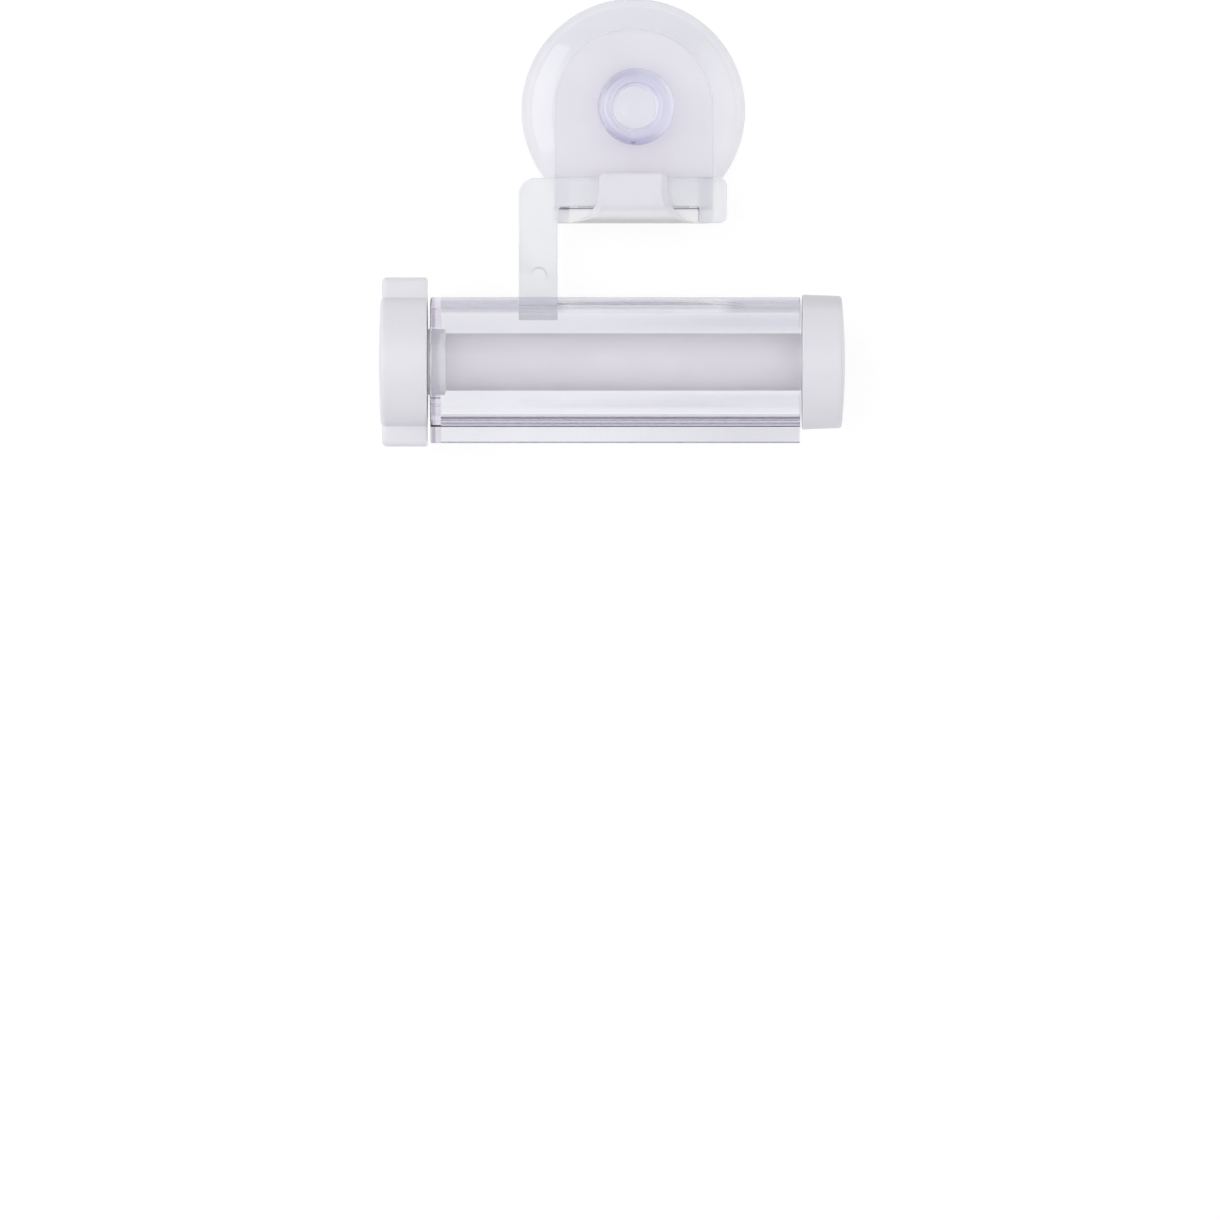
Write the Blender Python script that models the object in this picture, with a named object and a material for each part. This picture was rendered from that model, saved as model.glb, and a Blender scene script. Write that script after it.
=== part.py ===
# Wall-hung tube squeezer. A clear slotted sleeve hangs by its arm from a hook plate, which
# snaps over the head of a suction cup. A split roller turned by a winged knob winds the flat
# end of a tube up inside the sleeve, and an end cap holds the two prongs of the roller together.
#
# Metres, +Z up, +X to the right seen from the front. The origin is the middle of the cup's
# sealing face. The wall is the plane y = 0, and everything stands out from it towards -Y, so
# a depth below is a distance from the wall, and a drop is a distance below the cup's middle.

import math

import bmesh
import bpy
from mathutils import Matrix, Vector

# Clearance and working values
GAP = 0.0003  # between two pieces that rest on, or turn in, each other
OVERRUN = 0.001  # how far a cut runs past a face
MERGE = 0.000002  # points closer than this are one
ROUND_STEPS = 60
FILLET_STEPS = 3
CURVE_STEPS = 6
SHARP_ANGLE = math.radians(32)

# Suction cup, pressed on: a dome with a flat sealing ring, a neck and a mushroom head
CUP_RADIUS = 0.0225
CUP_EDGE = 0.0009  # upright edge of the rim
CUP_BEVEL = 0.0011
CUP_SEAL = 0.0024  # width of the flat sealing ring
CUP_DISH = 0.0032  # depth of the hollow
CUP_HEIGHT = 0.0090  # wall to shoulder
CUP_SHOULDER = 0.0086  # radius of the flat that the hook plate rests on
CUP_BULGE = 0.0011  # how far the dome swells past a straight cone
NECK_RADIUS = 0.0045
HEAD_RADIUS = 0.0077
HEAD_HEIGHT = 0.0048
HEAD_ROUND = 0.0018
HEAD_UNDERCUT = 0.0008
RECESS_RADIUS = 0.0048
RECESS_DEPTH = 0.0022
RECESS_ROUND = 0.0007

# Hook plate: round-topped plate, two legs beside a window, a shelf and a tongue before it
PLATE_RADIUS = 0.0160  # half its width, and the radius of its round top
PLATE_THICKNESS = 0.0024
PLATE_DROP = 0.0144  # down to the top of the window
LEG_WIDTH = 0.0030
LEG_ROUND = 0.0010
WINDOW_ROUND = 0.0005
SHELF_HALF_WIDTH = 0.0129
SHELF_THICKNESS = 0.0030
SHELF_ROOT = 0.0012  # how deep the shelf is rooted in the plate
HOOK_BEND = 0.0028  # outer radius where the shelf turns up into the tongue
HOOK_FILLET = 0.0005
TONGUE_THICKNESS = 0.0022
TONGUE_RISE = 0.0011  # how far the tongue stands above the bar it holds
TONGUE_HALF_WIDTH = 0.0069
TONGUE_ROUND = 0.0013
TONGUE_CROWN = 0.0003
TONGUE_LIP_ROUND = 0.0007
TONGUE_BEVEL = 0.0013  # broad bevel down both sides of the tongue
FLARE_RADIUS = 0.0065  # sides of the tongue run out into the shelf on this radius
FLARE_ANGLE = math.radians(78)

# Hanger arm: a bar lying on the shelf, an end stop, and an upright down to the sleeve
ARM_THICKNESS = 0.0030
ARM_LEFT = 0.0230  # outer side of the upright, from the cup's middle
ARM_WIDTH = 0.0078
BAR_DROP = 0.0140
BAR_HEIGHT = 0.0057
STOP_WIDTH = 0.0055
STOP_LENGTH = 0.0033  # how far the end stop hangs below the bar
ARM_CORNER = 0.0033
STOP_ROUND = 0.0015
ARM_FILLET = 0.0012
STOP_FILLET = 0.0006
ARM_EDGE = 0.0003
ARM_LANDING_SHARE = 0.70  # of the sleeve's radius, from the arm's back face to the sleeve's axis

# Sleeve: clear tube with a slot between two lips below, walled at its left end
SLEEVE_DROP = 0.0510  # cup's middle to the sleeve's axis
SLEEVE_RADIUS = 0.0130
SLEEVE_WALL = 0.0015
SLEEVE_LEFT = 0.0406  # from the cup's middle to the walled end
SLEEVE_RIGHT = 0.0333  # and to the open end
SLEEVE_END_WALL = 0.0021
SLEEVE_END_ROUND = 0.0009
SLOT_WIDTH = 0.0024
LIP_LENGTH = 0.0032  # how far the lips stand out below the tube
LIP_BLEND = 0.0004
LIP_ROUND = 0.0005
SLOT_BLEND = 0.0007

# Roller: round rod split into two prongs, with a collar and a square tang for the knob
ROD_RADIUS = 0.00575
ROD_CHAMFER = 0.0006
COLLAR_RADIUS = 0.0066
COLLAR_FILLET = 0.0006
COLLAR_INSIDE = 0.0009  # how far the collar reaches in past the end wall
SLIT_WIDTH = 0.0012
SLIT_START = 0.0041  # collar to the closed end of the slit
PRONG_REACH = 0.0056  # how far the prongs stand out of the sleeve
TANG_SIDE = 0.0074
TANG_LENGTH = 0.0058
TANG_ROUND = 0.0006

# Turning knob: hollow disc, flush with the sleeve, with a wing above and below
KNOB_STANDOFF = 0.0006  # between the knob and the sleeve's end wall
KNOB_THICKNESS = 0.0097
KNOB_CROWN = 0.0004
KNOB_ROUND = 0.0010
KNOB_INNER_ROUND = 0.0005
KNOB_FACE = 0.0020  # thickness of the outer face
KNOB_WALL = 0.0018
KNOB_HUB_WALL = 0.0018
WING_RISE = 0.0039  # how far a wing stands out from the disc
WING_WIDTH = 0.0042
WING_ROUND = 0.0012
WING_SETBACK = 0.0002  # wings stop this short of the rim of the outer face

# End cap: tapered cap with a crowned face and a socket for the prongs, against the sleeve
CAP_STANDOFF = 0.0004
CAP_OVERHANG = 0.0005  # how far the cap stands out past the sleeve
CAP_TAPER = 0.0003
CAP_LENGTH = 0.0086
CAP_CROWN = 0.0007
CAP_ROUND = 0.0006
CAP_INNER_ROUND = 0.0003
CAP_FACE = 0.0022
CAP_WALL = 0.0016
CAP_BOSS_WALL = 0.0016
CAP_CHAMFER = 0.0003

# Depths from the wall, in the order in which the pieces lie on each other
PLATE_BACK = CUP_HEIGHT + GAP
PLATE_FRONT = PLATE_BACK + PLATE_THICKNESS
HEAD_BACK = PLATE_FRONT + GAP
HEAD_FRONT = HEAD_BACK + HEAD_HEIGHT
ARM_BACK = PLATE_FRONT + GAP
ARM_FRONT = ARM_BACK + ARM_THICKNESS
TONGUE_BACK = ARM_FRONT + GAP
TONGUE_FRONT = TONGUE_BACK + TONGUE_THICKNESS
AXIS_DEPTH = ARM_BACK + SLEEVE_RADIUS * ARM_LANDING_SHARE

# Heights, measured from the cup's middle
BAR_TOP = -BAR_DROP
BAR_BOTTOM = BAR_TOP - BAR_HEIGHT
SHELF_TOP = BAR_BOTTOM - GAP
SHELF_BOTTOM = SHELF_TOP - SHELF_THICKNESS
TONGUE_TOP = BAR_TOP + TONGUE_RISE
AXIS_HEIGHT = -SLEEVE_DROP

# Places along the sleeve, and the radii that fit into each other
BORE_RADIUS = SLEEVE_RADIUS - SLEEVE_WALL
LIP_DROP = SLEEVE_RADIUS + LIP_LENGTH
SHAFT_HOLE_RADIUS = COLLAR_RADIUS + GAP
KNOB_RADIUS = SLEEVE_RADIUS
WING_REACH = KNOB_RADIUS + WING_RISE
CAP_RADIUS = SLEEVE_RADIUS + CAP_OVERHANG
KNOB_INNER_X = -SLEEVE_LEFT - KNOB_STANDOFF
KNOB_OUTER_X = KNOB_INNER_X - KNOB_THICKNESS
KNOB_RIM_X = KNOB_OUTER_X + KNOB_CROWN
COLLAR_LEFT_X = KNOB_INNER_X + GAP
COLLAR_RIGHT_X = -SLEEVE_LEFT + SLEEVE_END_WALL + COLLAR_INSIDE
TANG_END_X = COLLAR_LEFT_X - TANG_LENGTH
SLIT_START_X = COLLAR_RIGHT_X + SLIT_START
PRONG_END_X = SLEEVE_RIGHT + PRONG_REACH
CAP_INNER_X = SLEEVE_RIGHT + CAP_STANDOFF
CAP_OUTER_X = CAP_INNER_X + CAP_LENGTH
CAP_RIM_X = CAP_OUTER_X - CAP_CROWN
CAP_FLOOR_X = CAP_OUTER_X - CAP_FACE

# Joint axes
CUP_CENTRE = Vector((0, 0, 0))
BAR_SEAT = Vector((0, -ARM_BACK, BAR_BOTTOM))
KEY_CENTRE = Vector((0, -AXIS_DEPTH, AXIS_HEIGHT))
CAP_CENTRE = Vector((CAP_INNER_X, -AXIS_DEPTH, AXIS_HEIGHT))
ALONG_X = Vector((1, 0, 0))
ALONG_Y = Vector((0, 1, 0))


def front(across, up, depth):
    """A point of an outline drawn as seen from the front, at a depth from the wall."""
    return Vector((across, -depth, up))


def from_the_right(up, depth, across):
    """A point of a section drawn as seen from the right, at a place across the object."""
    return Vector((across, -depth, up))


def round_the_key(side, up, along):
    """A point of a section through the sleeve, drawn round its axis."""
    return Vector((along, side - AXIS_DEPTH, AXIS_HEIGHT + up))


def arc(centre, radius, start, end, steps):
    """Points on an arc, from the start angle to the end angle."""
    angles = [start + (end - start) * i / steps for i in range(steps + 1)]
    return [(centre[0] + radius * math.cos(a), centre[1] + radius * math.sin(a)) for a in angles]


def bulged(start, end, bulge, steps):
    """Points on a shallow arc between two points, which stands off their chord by bulge."""
    a = Vector(start)
    b = Vector(end)
    chord = b - a
    side = Vector((-chord.y, chord.x)).normalized()
    points = []
    for i in range(steps + 1):
        share = i / steps
        points.append(tuple(a + chord * share + side * bulge * 4 * share * (1 - share)))
    return points


def dished(radius, depth, steps):
    """Points from the edge of a shallow hollow to its middle, at its full depth."""
    shares = [1 - i / steps for i in range(steps + 1)]
    return [(radius * share, depth * (1 - share ** 2)) for share in shares]


def rounded(corners, closed=True):
    """An outline from corners of (u, v, radius), with an arc at each corner that has a radius."""
    points = []
    count = len(corners)
    for i, (u, v, radius) in enumerate(corners):
        if radius == 0 or (not closed and i in (0, count - 1)):
            points.append((u, v))
            continue
        corner = Vector((u, v))
        back = (Vector(corners[i - 1][:2]) - corner).normalized()
        ahead = (Vector(corners[(i + 1) % count][:2]) - corner).normalized()
        half = back.angle(ahead) / 2
        centre = corner + (back + ahead).normalized() * (radius / math.sin(half))
        start = corner + back * (radius / math.tan(half)) - centre
        end = corner + ahead * (radius / math.tan(half)) - centre
        first = math.atan2(start.y, start.x)
        turn = (math.atan2(end.y, end.x) - first + math.pi) % (2 * math.pi) - math.pi
        points += arc(centre, radius, first, first + turn, FILLET_STEPS)
    return points


def keyhole(radius, half_width, blend, drop, corner):
    """A circle with a straight tail below it, blended in: the sleeve outside, and its bore."""
    height = -math.sqrt((radius + blend) ** 2 - (half_width + blend) ** 2)
    spread = math.atan2(half_width + blend, -height)
    down = -math.pi / 2
    right = arc((half_width + blend, height), blend, math.pi, math.pi / 2 + spread, FILLET_STEPS)
    circle = arc((0, 0), radius, down + spread, down - spread + 2 * math.pi, ROUND_STEPS)
    left = [(-u, v) for u, v in reversed(right)]
    tail = rounded([(half_width, 0, 0), (half_width, -drop, corner), (-half_width, -drop, corner),
                    (-half_width, 0, 0)], closed=False)[1:-1]
    return tail[::-1] + right + circle[1:-1] + left


def prism(outline, place, start, end):
    """A solid with the same outline from start to end."""
    bm = bmesh.new()
    face = bm.faces.new([bm.verts.new(place(u, v, start)) for u, v in outline])
    grown = bmesh.ops.extrude_face_region(bm, geom=[face])["geom"]
    shift = place(0, 0, end) - place(0, 0, start)
    moved = [part for part in grown if isinstance(part, bmesh.types.BMVert)]
    bmesh.ops.translate(bm, verts=moved, vec=shift)
    bmesh.ops.recalc_face_normals(bm, faces=bm.faces)
    return bm


def tapered(outline, far_outline, place, start, end):
    """A solid that changes evenly from one outline to another with as many points."""
    bm = bmesh.new()
    near = [bm.verts.new(place(u, v, start)) for u, v in outline]
    far = [bm.verts.new(place(u, v, end)) for u, v in far_outline]
    bm.faces.new(near)
    bm.faces.new(far)
    for i in range(len(near)):
        bm.faces.new((near[i - 1], near[i], far[i], far[i - 1]))
    bmesh.ops.recalc_face_normals(bm, faces=bm.faces)
    return bm


def turned(points, centre, axis):
    """A solid turned round an axis from the points of its half section."""
    bm = bmesh.new()
    verts = [bm.verts.new(point) for point in points]
    edges = [bm.edges.new(pair) for pair in zip(verts, verts[1:])]
    bmesh.ops.spin(bm, geom=verts + edges, cent=centre, axis=axis, angle=2 * math.pi,
                   steps=ROUND_STEPS, use_merge=True)
    bmesh.ops.remove_doubles(bm, verts=bm.verts, dist=MERGE)
    bmesh.ops.recalc_face_normals(bm, faces=bm.faces)
    return bm


def turned_on_key(profile):
    """A solid turned round the key's axis from (place along X, radius) points."""
    points = [round_the_key(0, radius, along) for along, radius in profile]
    return turned(points, KEY_CENTRE, ALONG_X)


def crowned(radius, rim, rise):
    """Points of a crowned end face, from just inside its rim to its middle."""
    return [(rim + height, reach) for reach, height in dished(radius, rise, CURVE_STEPS)[1:]]


def round_cut(radius, start, end):
    """A round cutter on the key's axis."""
    circle = arc((0, 0), radius, 0, 2 * math.pi, ROUND_STEPS)[:-1]
    return prism(circle, round_the_key, start, end)


def finish(name, colour, roughness, transmission):
    """The plastic of one piece."""
    material = bpy.data.materials.new(name)
    material.use_nodes = True
    shader = material.node_tree.nodes["Principled BSDF"]
    shader.inputs["Base Color"].default_value = (*colour, 1)
    shader.inputs["Roughness"].default_value = roughness
    shader.inputs["Metallic"].default_value = 0
    shader.inputs["Transmission Weight"].default_value = transmission
    material.diffuse_color = (*colour, 1)
    return material


def new_object(name, bm, origin):
    """An object whose mesh is kept round the given origin."""
    bm.transform(Matrix.Translation(-origin))
    mesh = bpy.data.meshes.new(name)
    bm.to_mesh(mesh)
    bm.free()
    mesh.shade_smooth()
    mesh.set_sharp_from_angle(angle=SHARP_ANGLE)
    piece = bpy.data.objects.new(name, mesh)
    bpy.context.collection.objects.link(piece)
    return piece


def add_piece(name, bm, origin, joint, material):
    """A sub-part of the object, held by the empty of its joint."""
    piece = new_object(name, bm, origin)
    piece.parent = joint
    piece.location = origin - joint_places[joint.name] if joint else origin
    piece.data.materials.append(material)
    return piece


def reshape(piece, origin, name, bm, operation="DIFFERENCE"):
    """Cuts the piece by, or joins it with, a hidden helper shape that moves with it."""
    helper = new_object(f"{piece.name}_{name}", bm, origin)
    helper.parent = piece
    helper.hide_render = True
    helper.display_type = "WIRE"
    modifier = piece.modifiers.new(name, "BOOLEAN")
    modifier.operation = operation
    modifier.solver = "EXACT"
    modifier.object = helper


def soften(piece, width):
    """Breaks the sharp edges of a piece."""
    modifier = piece.modifiers.new("broken_edges", "BEVEL")
    modifier.width = width
    modifier.segments = 2
    modifier.limit_method = "ANGLE"
    modifier.angle_limit = SHARP_ANGLE


joint_places = {}


def add_joint(name, place, parent=None):
    """An empty on the axis of a joint."""
    empty = bpy.data.objects.new(name, None)
    bpy.context.collection.objects.link(empty)
    empty.empty_display_size = GAP
    joint_places[name] = place
    empty.parent = parent
    empty.location = place - joint_places[parent.name] if parent else place
    return empty


def suction_cup():
    """Soft clear cup with its sealing ring on the wall."""
    recess_floor = HEAD_FRONT - RECESS_DEPTH
    head = rounded([
        (0, recess_floor, 0),
        (RECESS_RADIUS, recess_floor, RECESS_ROUND),
        (RECESS_RADIUS, HEAD_FRONT, RECESS_ROUND),
        (HEAD_RADIUS, HEAD_FRONT, HEAD_ROUND),
        (HEAD_RADIUS, HEAD_BACK, HEAD_UNDERCUT),
        (NECK_RADIUS, HEAD_BACK, 0),
    ], closed=False)
    rim = (CUP_RADIUS - CUP_BEVEL, CUP_EDGE + CUP_BEVEL)
    dome = bulged((CUP_SHOULDER, CUP_HEIGHT), rim, CUP_BULGE, CURVE_STEPS)
    dish = dished(CUP_RADIUS - CUP_SEAL, CUP_DISH, CURVE_STEPS)
    edge = [(CUP_RADIUS, CUP_EDGE), (CUP_RADIUS, 0)]
    profile = head + [(NECK_RADIUS, CUP_HEIGHT)] + dome + edge + dish
    points = [front(radius, 0, depth) for radius, depth in profile]
    plastic = finish("clear_soft_pvc", (0.80, 0.80, 0.90), 0.12, 0.9)
    add_piece("suction_cup", turned(points, CUP_CENTRE, ALONG_Y), CUP_CENTRE, None, plastic)


def flare(inset=0):
    """Right side of the tongue, from its foot up to its waist, moved inwards by inset."""
    centre = (TONGUE_HALF_WIDTH + FLARE_RADIUS, SHELF_BOTTOM + FLARE_RADIUS)
    start = math.pi + FLARE_ANGLE
    return arc(centre, FLARE_RADIUS + inset, start, math.pi, CURVE_STEPS)


def tongue_side():
    """Right side of the tongue seen from the front, from its foot up to its top."""
    foot = flare()
    shoulder = rounded([
        (*foot[-1], 0),
        (TONGUE_HALF_WIDTH, TONGUE_TOP - TONGUE_CROWN, TONGUE_ROUND),
        (0, TONGUE_TOP, 0),
    ], closed=False)
    return [(foot[0][0], SHELF_BOTTOM - OVERRUN)] + foot + shoulder[1:]


def tongue_bevel(way):
    """Cutter for the bevel down one side of the tongue."""
    beyond = SHELF_HALF_WIDTH + OVERRUN
    below = SHELF_BOTTOM - FLARE_RADIUS
    above = TONGUE_TOP + OVERRUN
    outlines = []
    for inset in (-OVERRUN, TONGUE_BEVEL + OVERRUN):
        side = flare(inset)
        ends = [(side[-1][0], above), (beyond, above), (beyond, below), (side[0][0], below)]
        outlines.append([(way * u, v) for u, v in side + ends])
    back = TONGUE_FRONT - TONGUE_BEVEL - OVERRUN
    return tapered(*outlines, front, back, TONGUE_FRONT + OVERRUN)


def hook_plate(joint):
    """Round-topped plate over the cup, with the shelf and tongue that hold the hanger arm."""
    top = arc((0, 0), PLATE_RADIUS, 0, math.pi, ROUND_STEPS // 2)
    feet = rounded([
        (-PLATE_RADIUS, 0, 0),
        (-PLATE_RADIUS, SHELF_BOTTOM, LEG_ROUND),
        (PLATE_RADIUS, SHELF_BOTTOM, LEG_ROUND),
        (PLATE_RADIUS, 0, 0),
    ], closed=False)
    plastic = finish("translucent_plate", (0.76, 0.74, 0.80), 0.25, 0.6)
    plate = prism(top + feet[1:-1], front, PLATE_BACK, PLATE_FRONT)
    piece = add_piece("hook_plate", plate, CUP_CENTRE, joint, plastic)

    hole = arc((0, 0), NECK_RADIUS + GAP, 0, 2 * math.pi, ROUND_STEPS)[:-1]
    cut_back = PLATE_BACK - OVERRUN
    cut_front = PLATE_FRONT + OVERRUN
    reshape(piece, CUP_CENTRE, "neck_hole", prism(hole, front, cut_back, cut_front))
    inside = PLATE_RADIUS - LEG_WIDTH
    window = rounded([
        (-inside, SHELF_TOP, WINDOW_ROUND),
        (inside, SHELF_TOP, WINDOW_ROUND),
        (inside, -PLATE_DROP, WINDOW_ROUND),
        (-inside, -PLATE_DROP, WINDOW_ROUND),
    ])
    reshape(piece, CUP_CENTRE, "window", prism(window, front, cut_back, cut_front))

    root = PLATE_FRONT - SHELF_ROOT
    hook = rounded([
        (SHELF_TOP, root, 0),
        (SHELF_TOP, TONGUE_BACK, HOOK_FILLET),
        (TONGUE_TOP, TONGUE_BACK, TONGUE_LIP_ROUND),
        (TONGUE_TOP, TONGUE_FRONT, TONGUE_LIP_ROUND),
        (SHELF_BOTTOM, TONGUE_FRONT, HOOK_BEND),
        (SHELF_BOTTOM, root, 0),
    ])
    reshape(piece, CUP_CENTRE, "hook", hook_section(hook), "UNION")
    side = tongue_side()
    beyond = SHELF_HALF_WIDTH + OVERRUN
    above = TONGUE_TOP + OVERRUN
    below = SHELF_BOTTOM - OVERRUN
    round_the_tongue = [(beyond, below), (beyond, above), (-beyond, above), (-beyond, below)]
    round_the_tongue += [(-u, v) for u, v in side] + side[::-1][1:]
    shape = prism(round_the_tongue, front, ARM_FRONT, TONGUE_FRONT + OVERRUN)
    reshape(piece, CUP_CENTRE, "tongue_sides", shape)
    reshape(piece, CUP_CENTRE, "left_bevel", tongue_bevel(-1))
    reshape(piece, CUP_CENTRE, "right_bevel", tongue_bevel(1))


def hook_section(outline):
    """The shelf and tongue, as wide as the shelf."""
    return prism(outline, from_the_right, -SHELF_HALF_WIDTH, SHELF_HALF_WIDTH)


def hanger_arm(joint):
    """Bar on the shelf with its end stop, and the upright that carries the sleeve."""
    left = -ARM_LEFT
    inner = left + ARM_WIDTH
    stop_left = SHELF_HALF_WIDTH + GAP
    right = stop_left + STOP_WIDTH
    stop_bottom = BAR_BOTTOM - STOP_LENGTH
    outline = rounded([
        (left, BAR_TOP, ARM_CORNER),
        (left, AXIS_HEIGHT, 0),
        (inner, AXIS_HEIGHT, 0),
        (inner, BAR_BOTTOM, ARM_FILLET),
        (stop_left, BAR_BOTTOM, STOP_FILLET),
        (stop_left, stop_bottom, STOP_FILLET),
        (right, stop_bottom, STOP_ROUND),
        (right, BAR_TOP, STOP_ROUND),
    ])
    plastic = finish("milky_polypropylene", (0.84, 0.86, 0.90), 0.22, 0.5)
    bar = prism(outline, front, ARM_BACK, ARM_FRONT)
    piece = add_piece("hanger_arm", bar, BAR_SEAT, joint, plastic)
    soften(piece, ARM_EDGE)
    seat = round_cut(SLEEVE_RADIUS + GAP, left - OVERRUN, inner + OVERRUN)
    reshape(piece, BAR_SEAT, "sleeve_seat", seat)


def sleeve(joint):
    """Clear tube round the roller, slotted below between two lips."""
    half_slot = SLOT_WIDTH / 2
    outside = keyhole(SLEEVE_RADIUS, half_slot + SLEEVE_WALL, LIP_BLEND, LIP_DROP, LIP_ROUND)
    inside = keyhole(BORE_RADIUS, half_slot, SLOT_BLEND, LIP_DROP + OVERRUN, 0)
    body = prism(outside, round_the_key, -SLEEVE_LEFT, SLEEVE_RIGHT)
    walled_end = [
        edge for edge in body.edges
        if all(vert.co.x < -SLEEVE_LEFT + MERGE for vert in edge.verts)
    ]
    bmesh.ops.bevel(body, geom=walled_end, offset=SLEEVE_END_ROUND, segments=3, profile=0.5,
                    affect="EDGES", clamp_overlap=True)
    plastic = finish("clear_styrene", (0.90, 0.90, 0.96), 0.04, 1.0)
    piece = add_piece("sleeve", body, KEY_CENTRE, joint, plastic)
    bore_start = -SLEEVE_LEFT + SLEEVE_END_WALL
    bore = prism(inside, round_the_key, bore_start, SLEEVE_RIGHT + OVERRUN)
    reshape(piece, KEY_CENTRE, "bore_and_slot", bore)
    hole = round_cut(SHAFT_HOLE_RADIUS, -SLEEVE_LEFT - OVERRUN, bore_start + OVERRUN)
    reshape(piece, KEY_CENTRE, "shaft_hole", hole)


def square(side, corner):
    """A square outline about the key's axis."""
    half = side / 2
    corners = [(-half, -half), (half, -half), (half, half), (-half, half)]
    return rounded([(u, v, corner) for u, v in corners])


def roller(joint):
    """Split rod that grips the tube's end, with its collar and the tang that the knob drives."""
    profile = [(COLLAR_LEFT_X, 0)] + rounded([
        (COLLAR_LEFT_X, COLLAR_RADIUS, 0),
        (COLLAR_RIGHT_X, COLLAR_RADIUS, COLLAR_FILLET),
        (COLLAR_RIGHT_X + COLLAR_FILLET, ROD_RADIUS, 0),
        (PRONG_END_X - ROD_CHAMFER, ROD_RADIUS, 0),
        (PRONG_END_X, ROD_RADIUS - ROD_CHAMFER, 0),
    ], closed=False) + [(PRONG_END_X, 0)]
    plastic = finish("white_abs_roller", (0.78, 0.77, 0.80), 0.3, 0)
    piece = add_piece("roller", turned_on_key(profile), KEY_CENTRE, joint, plastic)
    tang = prism(square(TANG_SIDE, TANG_ROUND), round_the_key, TANG_END_X, COLLAR_LEFT_X + GAP)
    reshape(piece, KEY_CENTRE, "tang", tang, "UNION")
    half = SLIT_WIDTH / 2
    beyond = COLLAR_RADIUS + OVERRUN
    slit = [(-half, -beyond), (half, -beyond), (half, beyond), (-half, beyond)]
    cut = prism(slit, round_the_key, SLIT_START_X, PRONG_END_X + OVERRUN)
    reshape(piece, KEY_CENTRE, "slit", cut)


def turning_knob(joint):
    """Hollow disc with two wings, on the roller's tang."""
    hub_radius = TANG_SIDE / math.sqrt(2) + GAP + KNOB_HUB_WALL
    hollow_radius = KNOB_RADIUS - KNOB_WALL
    floor = KNOB_OUTER_X + KNOB_FACE
    profile = rounded([
        (KNOB_INNER_X, 0, 0),
        (KNOB_INNER_X, hub_radius, 0),
        (floor, hub_radius, 0),
        (floor, hollow_radius, 0),
        (KNOB_INNER_X, hollow_radius, 0),
        (KNOB_INNER_X, KNOB_RADIUS, KNOB_INNER_ROUND),
        (KNOB_RIM_X, KNOB_RADIUS, KNOB_ROUND),
        (KNOB_RIM_X, 0, 0),
    ], closed=False)[:-1]
    profile += crowned(profile[-1][1], KNOB_RIM_X, -KNOB_CROWN)
    plastic = finish("white_abs_knob", (0.82, 0.82, 0.86), 0.3, 0)
    piece = add_piece("turning_knob", turned_on_key(profile), KEY_CENTRE, joint, plastic)
    half = WING_WIDTH / 2
    root = (hollow_radius + KNOB_RADIUS) / 2
    for label, way in (("upper_wing", 1), ("lower_wing", -1)):
        outline = rounded([
            (-half, way * root, 0),
            (-half, way * WING_REACH, WING_ROUND),
            (half, way * WING_REACH, WING_ROUND),
            (half, way * root, 0),
        ])
        wing = prism(outline, round_the_key, KNOB_RIM_X + WING_SETBACK, KNOB_INNER_X)
        reshape(piece, KEY_CENTRE, label, wing, "UNION")
    socket = square(TANG_SIDE + 2 * GAP, TANG_ROUND)
    cut = prism(socket, round_the_key, TANG_END_X - GAP, KNOB_INNER_X + OVERRUN)
    reshape(piece, KEY_CENTRE, "socket", cut)


def end_cap(joint):
    """Cap against the open end of the sleeve, keeping the prongs together."""
    socket_radius = ROD_RADIUS + GAP
    boss_radius = socket_radius + CAP_BOSS_WALL
    skirt_radius = CAP_RADIUS - CAP_TAPER
    hollow_radius = skirt_radius - CAP_WALL
    profile = rounded([
        (CAP_FLOOR_X, 0, 0),
        (CAP_FLOOR_X, socket_radius, 0),
        (CAP_INNER_X, socket_radius, CAP_CHAMFER),
        (CAP_INNER_X, boss_radius, CAP_CHAMFER),
        (CAP_FLOOR_X, boss_radius, 0),
        (CAP_FLOOR_X, hollow_radius, 0),
        (CAP_INNER_X, hollow_radius, CAP_CHAMFER),
        (CAP_INNER_X, CAP_RADIUS, CAP_INNER_ROUND),
        (CAP_RIM_X, skirt_radius, CAP_ROUND),
        (CAP_RIM_X, 0, 0),
    ], closed=False)[:-1]
    profile += crowned(profile[-1][1], CAP_RIM_X, CAP_CROWN)
    plastic = finish("white_abs_cap", (0.82, 0.82, 0.86), 0.3, 0)
    add_piece("end_cap", turned_on_key(profile), CAP_CENTRE, joint, plastic)


def main():
    for old in list(bpy.data.objects):
        bpy.data.objects.remove(old)
    hook_turn = add_joint("hook_turn_axis", CUP_CENTRE)
    hanger_lift = add_joint("hanger_lift_seat", BAR_SEAT, hook_turn)
    key_turn = add_joint("key_turn_axis", KEY_CENTRE, hanger_lift)
    cap_pull = add_joint("cap_pull_seat", CAP_CENTRE, key_turn)
    suction_cup()
    hook_plate(hook_turn)
    hanger_arm(hanger_lift)
    sleeve(hanger_lift)
    roller(key_turn)
    turning_knob(key_turn)
    end_cap(cap_pull)


main()
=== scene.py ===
import math

import bmesh
import bpy
from mathutils import Matrix, Vector


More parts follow.
